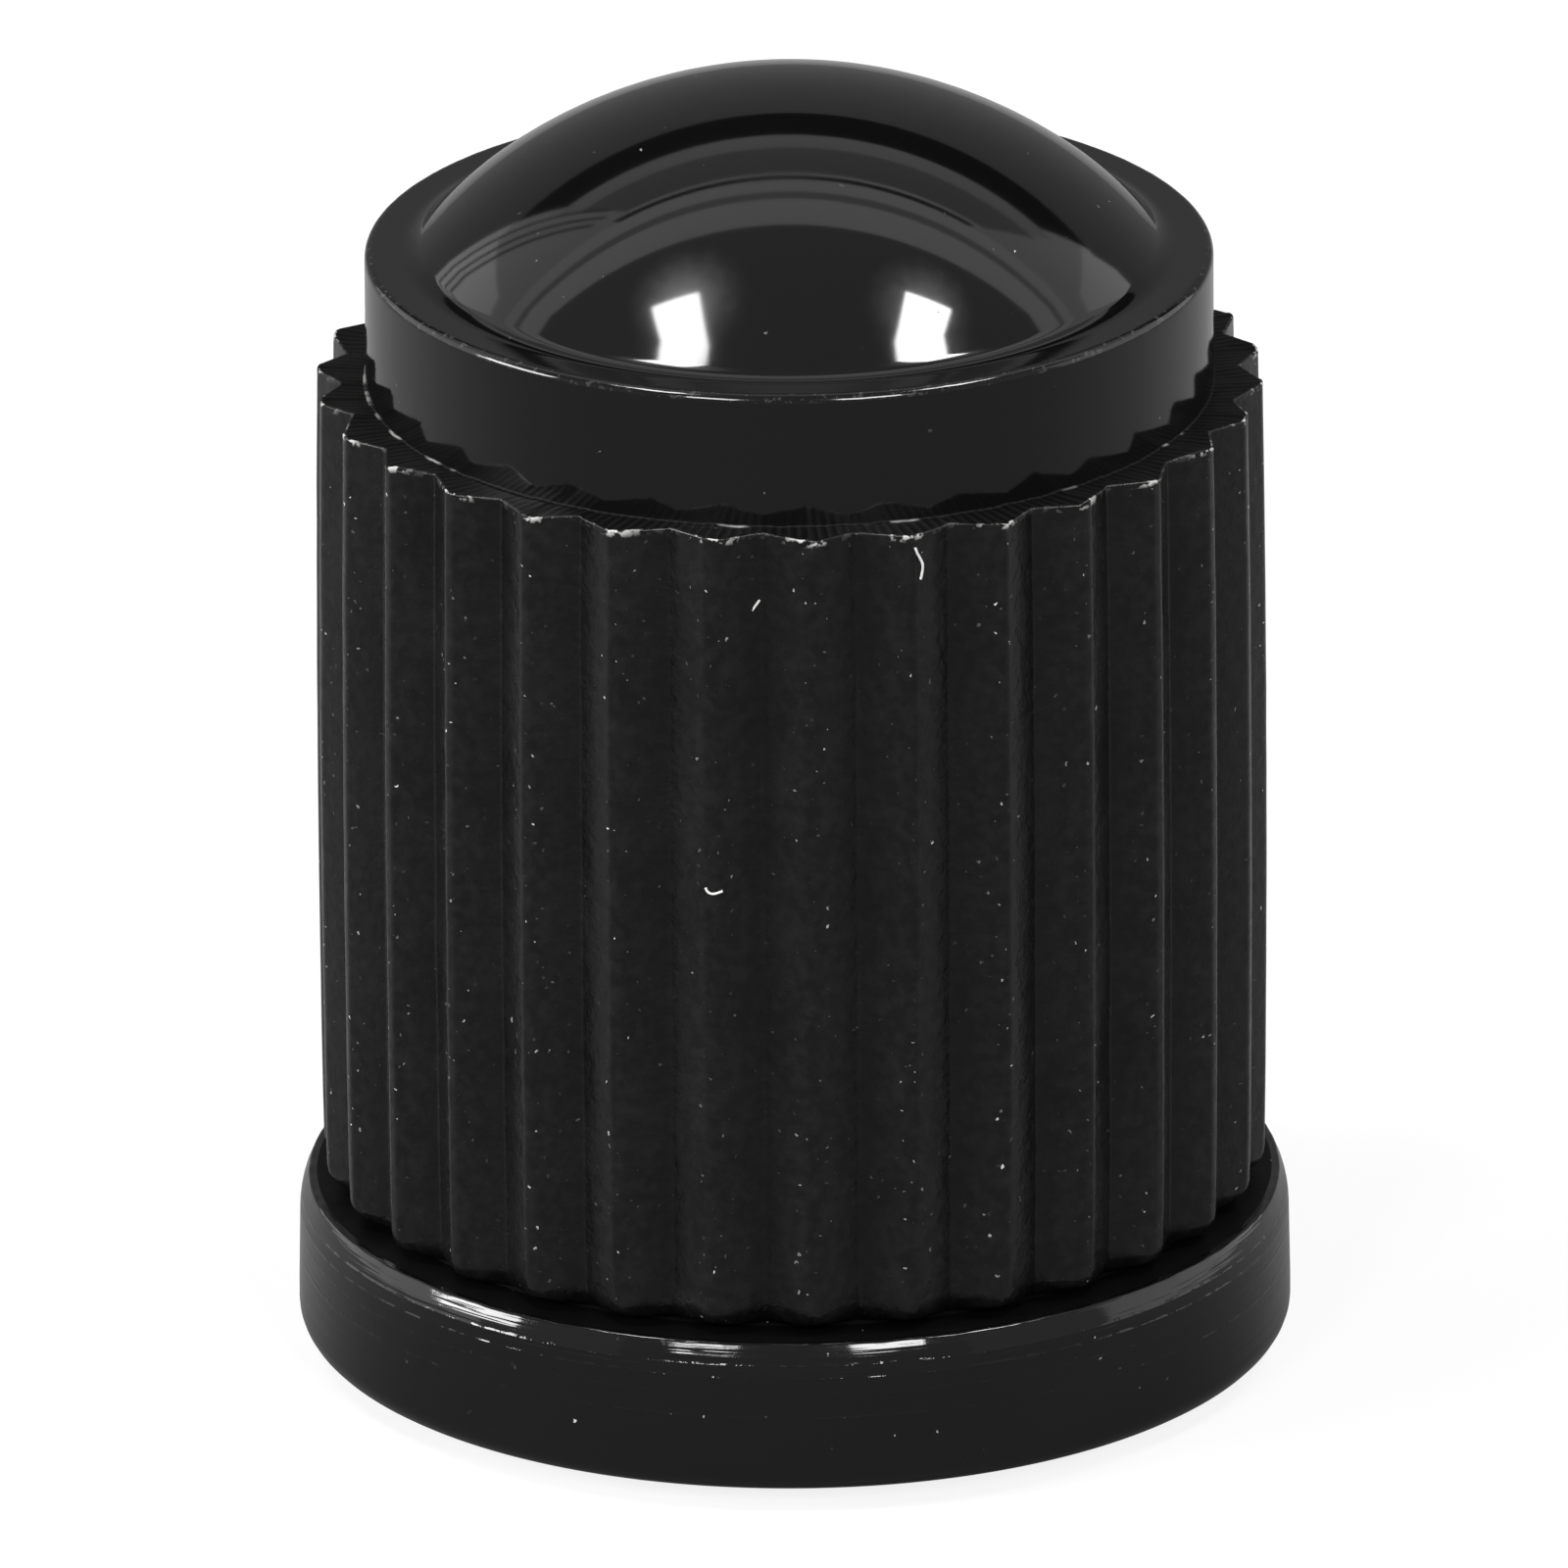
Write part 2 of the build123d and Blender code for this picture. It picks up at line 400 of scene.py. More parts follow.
    # thread: a closed ridge that fades into the wall at both ends
    steps = calc(tree, "MULTIPLY", given["Thread Turns"], given["Steps per Turn"])
    thread = sheet(calc(tree, "ADD", steps, 1), given["Thread Points"])
    row, column = rowColumn(given["Thread Points"])
    onThread = splitXyz(tree, sample(sectionOf("Thread Section"), spot, row, "FLOAT_VECTOR"))
    turn = calc(tree, "DIVIDE", column, given["Steps per Turn"])
    fromEnd = calc(tree, "MINIMUM", turn, calc(tree, "SUBTRACT", given["Thread Turns"], turn))
    full = calc(tree, "DIVIDE", fromEnd, given["Thread Fade"], clamp=True)
    threadAngle = calc(tree, "MULTIPLY", turn, 2 * math.pi)
    sunk = threadSizes["sunk"] * mm
    stands = calc(tree, "SUBTRACT", times(calc(tree, "ADD", onThread[0], sunk), full), sunk)
    inner = calc(tree, "SUBTRACT", given["Thread Radius"], stands)
    climb = calc(tree, "ADD", given["Thread Start"], times(turn, given["Thread Pitch"]))
    threadZ = calc(tree, "ADD", climb, times(onThread[2], full))
    threadSpot = joinXyz(tree, times(inner, calc(tree, "COSINE", threadAngle)),
                         times(inner, calc(tree, "SINE", threadAngle)), threadZ)
    thread = place(store(thread, "finishZone", float(zones["bore"]), "FACE"), threadSpot)

    # one mesh, smooth but for its sharp corners, with a finish for each zone
    join = addNode(tree, "GeometryNodeJoinGeometry")
    for part in (body, thread):
        feed(tree, join.inputs[0], part)
    merge = addNode(tree, "GeometryNodeMergeByDistance")
    merge.inputs["Distance"].default_value = 1e-7
    feed(tree, merge.inputs["Geometry"], join.outputs[0])
    flip = addNode(tree, "GeometryNodeFlipFaces")  # both sheets come out facing inwards
    feed(tree, flip.inputs["Mesh"], merge.outputs[0])
    smooth = addNode(tree, "GeometryNodeSetShadeSmooth", domain="FACE")
    feed(tree, smooth.inputs["Geometry"], flip.outputs[0])
    crisp = addNode(tree, "GeometryNodeSetShadeSmooth", domain="EDGE")
    feed(tree, crisp.inputs["Geometry"], smooth.outputs[0])
    corner = addNode(tree, "GeometryNodeInputMeshEdgeAngle").outputs["Unsigned Angle"]
    crispAngle = math.radians(50)
    feed(tree, crisp.inputs["Selection"], calc(tree, "GREATER_THAN", corner, crispAngle))
    crisp.inputs["Shade Smooth"].default_value = False
    realize = addNode(tree, "GeometryNodeRealizeInstances")
    feed(tree, realize.inputs[0], crisp.outputs[0])
    shape = realize.outputs[0]
    zoneHere = named("finishZone")
    for name, number in zones.items():
        dress = addNode(tree, "GeometryNodeSetMaterial")
        feed(tree, dress.inputs["Geometry"], shape)
        feed(tree, dress.inputs["Selection"], calc(tree, "GREATER_THAN", zoneHere, number - 0.5))
        feed(tree, dress.inputs["Material"], given[name.capitalize() + " Finish"])
        shape = dress.outputs[0]
    feed(tree, addNode(tree, "NodeGroupOutput").inputs[0], shape)
    return tree


def makeCap(finishes):
    ribMesh, ribPoints = makeRibLine(ribSizes)
    threadMesh, threadPoints = makeThreadLine(threadSizes)
    helpers = []
    for mesh in (ribMesh, threadMesh):
        helper = bpy.data.objects.new(mesh.name, mesh)
        bpy.context.collection.objects.link(helper)
        helpers.append(helper)
    maker = bpy.data.objects.new("capMaker", makeSectionLine(capRows(capSection)))
    bpy.context.collection.objects.link(maker)
    helpers.append(maker)
    tree = buildCapTree()
    modifier = maker.modifiers.new("shape", "NODES")
    modifier.node_group = tree
    values = {
        "Rib Section": helpers[0], "Thread Section": helpers[1],
        "Rib Count": ribSizes["count"], "Rib Points": ribPoints,
        "Rib Depth": ribSizes["depth"] * mm, "Waviness": ribSizes["waviness"] * mm,
        "Uneven Depth": ribSizes["unevenDepth"] * mm, "Uneven Edge": ribSizes["unevenEdge"] * mm, "Seed": 4.0,
        "Thread Points": threadPoints, "Thread Radius": capSection["threadRadius"] * mm,
        "Thread Pitch": threadSizes["pitch"] * mm, "Thread Start": threadSizes["startZ"] * mm,
        "Thread Turns": threadSizes["turns"], "Thread Fade": threadSizes["fadeTurns"],
        "Steps per Turn": threadSizes["stepsPerTurn"],
        **{name + " Finish": material for name, material in finishes.items()},
    }
    for item in tree.interface.items_tree:
        if item.in_out == "INPUT" and item.name in values:
            modifier[item.identifier] = values[item.name]
    graph = bpy.context.evaluated_depsgraph_get()
    mesh = bpy.data.meshes.new_from_object(maker.evaluated_get(graph))
    mesh.name = "valveCap"
    for helper in helpers:
        bpy.data.objects.remove(helper)
    cap = bpy.data.objects.new("valveCap", mesh)
    bpy.context.collection.objects.link(cap)
    return cap


# finishes: one black plastic, with its moulded grain, scratches and dust as shared groups

def newGroup(name, inputs, outputs):
    group = bpy.data.node_groups.new(name, "ShaderNodeTree")
    for label, value in inputs:
        socket = group.interface.new_socket(label, in_out="INPUT", socket_type="NodeSocketFloat")
        socket.default_value = value
    for label in outputs:
        group.interface.new_socket(label, in_out="OUTPUT", socket_type="NodeSocketFloat")
    return group, addNode(group, "NodeGroupInput").outputs, addNode(group, "NodeGroupOutput").inputs


def noiseIn(tree, vector, scale, detail=2.0, roughness=0.5):
    node = addNode(tree, "ShaderNodeTexNoise")
    feed(tree, node.inputs["Vector"], vector)
    feed(tree, node.inputs["Scale"], scale)
    node.inputs["Detail"].default_value = detail
    node.inputs["Roughness"].default_value = roughness
    return node.outputs[0]


def buildGrain():
    group, given, made = newGroup("mouldGrain", [("Scale", 8000.0), ("Patch Scale", 900.0)], ["Height", "Patches"])
    spot = addNode(group, "ShaderNodeTexCoord").outputs["Object"]
    feed(group, made["Height"], noiseIn(group, spot, given["Scale"], 3.0, 0.6))
    patches = noiseIn(group, spot, given["Patch Scale"], 2.0)
    feed(group, made["Patches"], remap(group, patches, 0.3, 0.7))
    return group


def scaled(tree, vector, factor):
    node = addNode(tree, "ShaderNodeVectorMath", operation="SCALE")
    feed(tree, node.inputs[0], vector)
    node.inputs["Scale"].default_value = factor
    return node.outputs[0]


def buildScratches():
    # fine lines that run round the cap, broken along their length
    values = [("Lines per Metre", 30000.0), ("Amount", 0.5)]
    group, given, made = newGroup("ringScratches", values, ["Height", "Lines"])
    x, y, z = splitXyz(group, addNode(group, "ShaderNodeTexCoord").outputs["Object"])
    angle = calc(group, "ARCTAN2", y, x)
    radius = calc(group, "SQRT", calc(group, "ADD", calc(group, "MULTIPLY", x, x), calc(group, "MULTIPLY", y, y)))
    across = calc(group, "MULTIPLY", calc(group, "SUBTRACT", z, radius), given["Lines per Metre"])
    breaks, sharpness = 2.5, 12.0
    along = joinXyz(group, calc(group, "MULTIPLY", calc(group, "COSINE", angle), breaks),
                    calc(group, "MULTIPLY", calc(group, "SINE", angle), breaks), across)
    lines = noiseIn(group, along, 1.0, 2.0, 0.6)
    wide = noiseIn(group, scaled(group, along, 0.25), 1.0, 1.0)
    feed(group, made["Height"], lines)
    both = calc(group, "ADD", calc(group, "MULTIPLY", lines, 0.7), calc(group, "MULTIPLY", wide, 0.3))
    cut = calc(group, "SUBTRACT", 0.78, calc(group, "MULTIPLY", given["Amount"], 0.25))
    above = calc(group, "SUBTRACT", both, cut)
    feed(group, made["Lines"], calc(group, "MULTIPLY", above, sharpness, clamp=True))
    return group


def buildDust():
    # specks of several sizes; each cell of the pattern holds one or none
    values = [("Cells per Metre", 2600.0), ("Share", 0.5), ("Size", 0.07)]
    group, given, made = newGroup("dustSpecks", values, ["Specks"])
    spot = addNode(group, "ShaderNodeTexCoord").outputs["Object"]
    ragged = addNode(group, "ShaderNodeTexNoise")
    feed(group, ragged.inputs["Vector"], spot)
    ragged.inputs["Scale"].default_value = 26000.0  # outlines are broken by up to 0.05 mm
    ragged.inputs["Detail"].default_value = 0.0
    shift = addNode(group, "ShaderNodeVectorMath", operation="MULTIPLY_ADD")
    feed(group, shift.inputs[0], ragged.outputs["Color"])
    shift.inputs[1].default_value = (0.05 * mm, 0.05 * mm, 0.05 * mm)
    feed(group, shift.inputs[2], spot)
    cells = addNode(group, "ShaderNodeTexVoronoi", feature="F1")
    feed(group, cells.inputs["Vector"], shift.outputs[0])
    feed(group, cells.inputs["Scale"], given["Cells per Metre"])
    pick = splitXyz(group, cells.outputs["Color"])
    held = calc(group, "LESS_THAN", pick[0], given["Share"])
    reach = calc(group, "MULTIPLY", given["Size"], remap(group, pick[1], 0, 1, 0.45, 1.0))
    near = calc(group, "SUBTRACT", 1.0, calc(group, "DIVIDE", cells.outputs["Distance"], reach), clamp=True)
    solid = calc(group, "MULTIPLY", near, 3.0, clamp=True)
    bright = calc(group, "MULTIPLY", solid, remap(group, calc(group, "POWER", pick[2], 4.0), 0, 1, 0.05, 1.0))
    feed(group, made["Specks"], calc(group, "MULTIPLY", bright, held))
    return group


def buildNicksAndPaintedGlints():
    # ragged pale spots along the moulded edges: partly whitened nicks and burrs, partly painted highlights
    group, given, made = newGroup("edgeNicks", [("Scale", 3000.0), ("Share", 0.4)], ["Nicks"])
    spot = addNode(group, "ShaderNodeTexCoord").outputs["Object"]
    edge = addNode(group, "ShaderNodeAttribute", attribute_name="onEdge").outputs["Fac"]
    ragged = noiseIn(group, spot, given["Scale"], 2.0, 0.6)
    cut = calc(group, "SUBTRACT", 0.75, calc(group, "MULTIPLY", given["Share"], 0.35))
    raised = calc(group, "MULTIPLY", calc(group, "SUBTRACT", ragged, cut), 14.0, clamp=True)
    feed(group, made["Nicks"], calc(group, "MULTIPLY", raised, edge))
    return group


effects = {"grain": buildGrain(), "scratches": buildScratches(), "dust": buildDust(), "nicksAndPaintedGlints": buildNicksAndPaintedGlints()}

# pale colour of the dust specks, also used for the painted glints along the edges
dustAndPaintedGlintColor = (0.55, 0.55, 0.54, 1.0)


def mixColor(tree, share, first, second):
    node = addNode(tree, "ShaderNodeMix", data_type="RGBA")
    for socket, value in ((node.inputs[0], share), (node.inputs[6], first), (node.inputs[7], second)):
        feed(tree, socket, value)
    return node.outputs[2]


def ringRidges(tree, rings, width):
    # fine ridges that the mould left round the flange, fading in and out on their way round
    spot = addNode(tree, "ShaderNodeTexCoord").outputs["Object"]
    z = splitXyz(tree, spot)[2]
    total = None
    for place, tall in rings:
        away = calc(tree, "ABSOLUTE", calc(tree, "SUBTRACT", z, place * mm))
        ridge = calc(tree, "SUBTRACT", 1.0, calc(tree, "DIVIDE", away, width * mm), clamp=True)
        ridge = calc(tree, "MULTIPLY", calc(tree, "MULTIPLY", ridge, ridge), tall)
        total = ridge if total is None else calc(tree, "ADD", total, ridge)
    fade = remap(tree, noiseIn(tree, spot, 4500.0, 4.0, 0.6), 0.4, 0.6, 0.1, 1.0)
    return calc(tree, "MULTIPLY", total, fade)


def ledgeHatch(tree, h):
    # fine grooves across the ledge below the collar
    x, y, _ = splitXyz(tree, addNode(tree, "ShaderNodeTexCoord").outputs["Object"])
    around = calc(tree, "ARCTAN2", y, x)
    return calc(tree, "COSINE", calc(tree, "MULTIPLY", around, h["count"]))


largeDust = {"Cells per Metre": 1900.0, "Share": 0.26, "Size": 0.07}  # on every zone
dustRoughness = 0.7
micron = 1e-6


def makeFinish(name, s):
    material = bpy.data.materials.new(name)
    material.use_nodes = True
    tree = material.node_tree
    shader = tree.nodes["Principled BSDF"]

    def effect(key, values):
        node = addNode(tree, "ShaderNodeGroup", node_tree=effects[key])
        for label, value in values.items():
            node.inputs[label].default_value = value
        return node.outputs

    def grey(level):
        return (level, level, level, 1.0)

    def addTo(base, mask, amount):
        return calc(tree, "MULTIPLY_ADD", mask, amount, base)

    grain = effect("grain", s["grain"])
    specksAndPaintedGlints = effect("dust", s["dust"])["Specks"]
    plastic = grey(s["color"])
    rough = addTo(s["roughness"] - s["roughSpread"] / 2, grain["Patches"], s["roughSpread"])
    height = calc(tree, "MULTIPLY", grain["Height"], s["grainDepth"])
    nickAndPaintedGlintStrength = s.get("nickAndPaintedGlintStrength", 0.0)
    if "crests" in s:  # rib crests are painted paler than the valleys (painted light) and the valleys darker (painted shade); the crests are also worn smoother and hold the dust
        c = s["crests"]
        crest = addNode(tree, "ShaderNodeAttribute", attribute_name="onCrest").outputs["Fac"]
        ragged = calc(tree, "MULTIPLY_ADD", grain["Height"], c["ragged"], -c["ragged"] / 2)
        wornAndPainted = remap(tree, calc(tree, "ADD", crest, ragged), *c["wornAndPaintedSpan"], smooth=True)
        plastic = mixColor(tree, wornAndPainted, plastic, grey(c["color"]))
        rough = addTo(rough, wornAndPainted, c["roughness"])
        height = calc(tree, "MULTIPLY", height, calc(tree, "MULTIPLY_ADD", wornAndPainted, -c["smoothing"], 1.0))
        specksAndPaintedGlints = calc(tree, "MULTIPLY", specksAndPaintedGlints, remap(tree, crest, *c["dustSpan"], c["dustBelow"], 1.0))
        # raised grain lumps are painted paler too, more on the crests than in the valleys
        lumps = remap(tree, grain["Height"], *c["lumpSpan"])
        lumpColor = remap(tree, crest, *c["lumpFade"], c["lumpsBelow"] * c["lumps"], c["lumps"])
        specksAndPaintedGlints = calc(tree, "MAXIMUM", specksAndPaintedGlints, calc(tree, "MULTIPLY", lumps, lumpColor))
        # pale spots at the crest corners are partly burrs and partly painted glints
        nickAndPaintedGlintStrength = remap(tree, crest, *c["nickAndPaintedGlintSpan"], nickAndPaintedGlintStrength, c["nickAndPaintedGlintStrength"])
    if "nicksAndPaintedGlints" in s:
        nicksAndPaintedGlints = effect("nicksAndPaintedGlints", s["nicksAndPaintedGlints"])["Nicks"]
        # the pale nick spots, partly painted highlights, are mixed in with the dust
        specksAndPaintedGlints = calc(tree, "MAXIMUM", specksAndPaintedGlints, calc(tree, "MULTIPLY", nicksAndPaintedGlints, nickAndPaintedGlintStrength))
    if "scratches" in s:
        scratches = effect("scratches", s["scratches"])
        rough = addTo(rough, scratches["Lines"], s["scratchRough"])
        height = addTo(height, scratches["Lines"], s["scratchDepth"])
        if "brushDepth" in s:
            height = addTo(height, scratches["Height"], s["brushDepth"])
    if "rings" in s:
        height = calc(tree, "ADD", height, ringRidges(tree, s["rings"], s["ringWidth"]))
    if "hatch" in s:
        hatch = ledgeHatch(tree, s["hatch"])
        height = addTo(height, hatch, s["hatch"]["depth"])
        # the raised half of each groove is painted paler: a painted highlight on the ridges
        raised = calc(tree, "MULTIPLY", hatch, 1.0, clamp=True)
        plastic = mixColor(tree, raised, plastic, grey(s["hatch"]["color"]))
    specksAndPaintedGlints = calc(tree, "MAXIMUM", specksAndPaintedGlints, effect("dust", largeDust)["Specks"])
    feed(tree, shader.inputs["Base Color"], mixColor(tree, specksAndPaintedGlints, plastic, dustAndPaintedGlintColor))
    dusty = calc(tree, "MULTIPLY", specksAndPaintedGlints, dustRoughness)
    feed(tree, shader.inputs["Roughness"], calc(tree, "MAXIMUM", rough, dusty))
    shader.inputs["Specular IOR Level"].default_value = s["specular"]
    bump = addNode(tree, "ShaderNodeBump")
    bump.inputs["Distance"].default_value = micron  # heights are in micrometres
    feed(tree, bump.inputs["Height"], height)
    feed(tree, shader.inputs["Normal"], bump.outputs[0])
    return material


domeGloss = {
    "color": 0.0025, "specular": 0.5, "roughness": 0.06, "roughSpread": 0.04,
    "grain": {"Scale": 3200.0, "Patch Scale": 500.0}, "grainDepth": 0.08,
    "dust": {"Cells per Metre": 4200.0, "Share": 0.22, "Size": 0.09},
}
collarSatin = {
    "color": 0.0025, "specular": 0.5, "roughness": 0.1, "roughSpread": 0.05,
    "grain": {"Scale": 9000.0, "Patch Scale": 700.0}, "grainDepth": 0.5,
    "scratches": {"Lines per Metre": 26000.0, "Amount": 0.3}, "scratchDepth": 0.2, "scratchRough": 0.1,
    "dust": {"Cells per Metre": 4200.0, "Share": 0.25, "Size": 0.09},
    "nicksAndPaintedGlints": {"Scale": 12000.0, "Share": 0.5}, "nickAndPaintedGlintStrength": 0.1,
}
# the rib valleys' dark base colour is painted shade, and the paler crest colour is painted light
gripGrain = {
    "color": 0.0011, "specular": 0.37, "roughness": 0.30, "roughSpread": 0.14,
    "grain": {"Scale": 7000.0, "Patch Scale": 900.0}, "grainDepth": 14.0,
    "crests": {"color": 0.0028, "roughness": -0.07, "smoothing": 0.25, "ragged": 0.9, "wornAndPaintedSpan": (0.2, 0.68),
               "dustBelow": 0.1, "dustSpan": (0.55, 0.85), "nickAndPaintedGlintStrength": 0.8, "nickAndPaintedGlintSpan": (0.45, 0.9),
               "lumps": 0.01, "lumpsBelow": 0.4, "lumpSpan": (0.4, 0.72), "lumpFade": (0.2, 0.9)},
    "dust": {"Cells per Metre": 9500.0, "Share": 0.65, "Size": 0.19},
    "nicksAndPaintedGlints": {"Scale": 8000.0, "Share": 0.65}, "nickAndPaintedGlintStrength": 0.05,
}
# the ledge's dark base colour is painted shade below the collar; the pale hatch colour is a painted highlight on the
# groove ridges
ledgeGrooved = {
    "color": 0.0014, "specular": 0.1, "roughness": 0.5, "roughSpread": 0.08,
    "grain": {"Scale": 9000.0, "Patch Scale": 900.0}, "grainDepth": 4.0,
    "hatch": {"count": 283.0, "depth": 1.6, "color": 0.006},
    "dust": {"Cells per Metre": 4200.0, "Share": 0.25, "Size": 0.09},
    "nicksAndPaintedGlints": {"Scale": 1800.0, "Share": 0.62}, "nickAndPaintedGlintStrength": 0.35,
}
# dark base colour: painted shade in the neck under the ribs and on the flange top
recessDark = {
    "color": 0.0016, "specular": 0.1, "roughness": 0.5, "roughSpread": 0.08,
    "grain": {"Scale": 9000.0, "Patch Scale": 900.0}, "grainDepth": 4.0,
    "dust": {"Cells per Metre": 4200.0, "Share": 0.25, "Size": 0.09},
}
flangeScuffed = {
    "color": 0.0025, "specular": 0.5, "roughness": 0.08, "roughSpread": 0.04,
    "grain": {"Scale": 9000.0, "Patch Scale": 700.0}, "grainDepth": 0.5,
    "scratches": {"Lines per Metre": 14000.0, "Amount": 0.5}, "scratchDepth": 1.0, "scratchRough": 0.1,
    "rings": ((1.37, 5.5), (1.24, 6.5), (1.06, 4.0), (0.82, 5.5)), "ringWidth": 0.035, "brushDepth": 5.0,
    "dust": {"Cells per Metre": 4600.0, "Share": 0.4, "Size": 0.1},
}
boreMatt = {
    "color": 0.0025, "specular": 0.5, "roughness": 0.4, "roughSpread": 0.1,
    "grain": {"Scale": 7000.0, "Patch Scale": 900.0}, "grainDepth": 4.0,
    "scratches": {"Lines per Metre": 22000.0, "Amount": 0.2}, "scratchDepth": 1.0, "scratchRough": 0.1,
    "dust": {"Cells per Metre": 4200.0, "Share": 0.2, "Size": 0.09},
}

cap = makeCap({"Dome": makeFinish("domeGloss", domeGloss), "Collar": makeFinish("collarSatin", collarSatin),
               "Ledge": makeFinish("ledgeGrooved", ledgeGrooved), "Grip": makeFinish("gripGrain", gripGrain),
               "Recess": makeFinish("recessDark", recessDark), "Flange": makeFinish("flangeScuffed", flangeScuffed),
               "Bore": makeFinish("boreMatt", boreMatt)})
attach(cap, "root")
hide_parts("valve_cap")
triangles = sum(len(polygon.vertices) - 2 for polygon in cap.data.polygons)
print("cap made:", len(cap.data.vertices), "points,", triangles, "triangles")


# three stray fibres that lie on the ribs

fibres = [  # radius of the ribs there, then places in degrees round from the front and millimetres up
    (4.74, [(15.1, 9.945), (15.3, 9.89), (15.9, 9.80), (16.1, 9.73), (15.75, 9.61)]),
    (4.545, [(-4.95, 9.27), (-4.4, 9.33), (-3.95, 9.385)]),
    (4.765, [(-10.45, 6.39), (-10.35, 6.345), (-9.4, 6.32), (-8.4, 6.365)]),
]
fibreRadius = 0.013


def makeFibres():
    line = bpy.data.curves.new("fibreLine", "CURVE")
    line.dimensions = "3D"
    line.bevel_depth = fibreRadius * mm
    line.bevel_resolution = 2
    line.use_fill_caps = True
    for radius, places in fibres:
        spline = line.splines.new("NURBS")
        spline.points.add(len(places) - 1)
        for point, (degrees, height) in zip(spline.points, places):
            angle = math.radians(degrees - 90) + viewTurn
            point.co = (radius * mm * math.cos(angle), radius * mm * math.sin(angle), height * mm, 1)
        spline.order_u = 3
        spline.use_endpoint_u = True
        spline.resolution_u = 6
    maker = bpy.data.objects.new("fibreLine", line)
    bpy.context.collection.objects.link(maker)
    mesh = bpy.data.meshes.new_from_object(maker.evaluated_get(bpy.context.evaluated_depsgraph_get()))
    bpy.data.objects.remove(maker)
    material = bpy.data.materials.new("paleFibre")
    material.use_nodes = True
    tree = material.node_tree
    shader = tree.nodes["Principled BSDF"]
    spot = addNode(tree, "ShaderNodeTexCoord").outputs["Object"]
    share = noiseIn(tree, spot, 20000.0, 2.0)
    feed(tree, shader.inputs["Base Color"], mixColor(tree, share, (0.5, 0.5, 0.49, 1), (0.85, 0.85, 0.84, 1)))
    shader.inputs["Roughness"].default_value = 0.7
    mesh.materials.clear()
    mesh.materials.append(material)
    piece = bpy.data.objects.new("dustFibres", mesh)
    bpy.context.collection.objects.link(piece)
    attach(piece, "root")


makeFibres()
print("fibres laid")


# camera, fitted to the photograph

photoView = {"elevation": 21.02, "roll": -0.3376, "distance": 0.5, "aim": (-0.0000804, 0.0, 0.00569),
             "focalPixels": 50885.0, "framePixels": 1600, "sensor": 36.0}


def makeCamera(v):
    e, roll = math.radians(v["elevation"]), math.radians(v["roll"])
    forward = Vector((0, math.cos(e), -math.sin(e)))
    level = Vector((1, 0, 0))
    upright = level.cross(forward)
    right = level * math.cos(roll) + upright * math.sin(roll)
    up = upright * math.cos(roll) - level * math.sin(roll)
    eye = Vector(v["aim"]) - forward * v["distance"]
    placed = Matrix((right, up, -forward)).transposed().to_4x4()
    placed.translation = eye
    lens = bpy.data.cameras.new("photoCamera")
    lens.sensor_width = v["sensor"]
    lens.lens = v["focalPixels"] * v["sensor"] / v["framePixels"]
    camera = bpy.data.objects.new("photoCamera", lens)
    camera.matrix_world = Matrix.Rotation(viewTurn, 4, "Z") @ placed
    bpy.context.collection.objects.link(camera)
    bpy.context.scene.camera = camera


makeCamera(photoView)
print("camera placed")


# studio: a pale floor and a cloth light tent that the camera doesn't see, with lamps above, in front and at the left

studio = {  # metres, but for the shares and levels
    "tentZ": 0.0125, "wallY": 0.25, "ceilingZ": 0.45, "sideX": 0.6, "frontY": -0.7, "doorY": -0.15, "farY": 0.7,
    "floorSize": 3.0, "floorZ": -0.0002, "floorWhite": 0.85, "cardRadius": 0.5, "cardZ": -0.00015,
    "foldShare": 0.004, "glowShare": 0.996, "lampShare": 0.98, "ceilingLevel": 0.29, "worldLevel": 0.5,
}

backPanels = [  # name, left, right, bottom, top, level; lengths are shares of the back wall's distance
    ("backCloth", -0.78, 0.98, -0.05, 0.66, 0.2),
    ("backSlit", -0.78, 0.95, 0.66, 0.95, 0.005),
    ("backBand", -0.86, 1.05, 0.95, 1.14, 0.62),
    ("backPanel", -0.86, 1.1, 1.14, 1.62, 0.34),
    ("backEdge", -0.86, 1.1, 1.62, 1.68, 1.0),
    ("backSeam", -1.0, 1.08, 1.68, 1.78, 0.02),
    ("foldA", -1.04, -1.005, -0.05, 1.5, 0.12),
    ("foldB", -0.95, -0.92, -0.05, 1.5, 0.12),
    ("foldC", -0.86, -0.835, -0.05, 1.4, 0.12),
]
ceilingPanels = [  # name, left, right, near, far, level; lengths are shares of the ceiling's height
    ("topBand", -1.25, 1.25, 0.47, 0.57, 1.05),
    ("topSeam", -1.25, 1.25, 0.42, 0.47, 0.5),
    ("topCloth", -1.2, 1.2, 0.26, 0.42, 1.15),
    ("topDark", -1.3, 1.3, -1.6, 0.26, studio["ceilingLevel"]),
]
glowPanels = [  # soft glows round the ceiling lamps: name, left, right, near, far, level
    ("glowLeft", -0.62, -0.12, -0.36, 0.24, 3.2),
    ("glowRight", 0.24, 0.74, -0.36, 0.24, 2.8),
]
lamps = [  # name, where it stands, whether it faces the cap, width, depth, level; lengths are shares as above
    ("lampLeft", (-0.405, -0.175, 1.0), False, 0.19, 0.29, 25.5),
    ("lampRight", (0.505, -0.15, 1.0), False, 0.2, 0.31, 25.5),
    ("lampLow", (-1.167, -0.227, 0.386), True, 0.5, 0.36, 20.0),
    ("lampFrontLeft", (-0.364, -0.9, 0.516), True, 0.23, 0.29, 22.0),
    ("lampFrontRight", (0.37, -0.9, 0.516), True, 0.31, 0.29, 22.0),
]


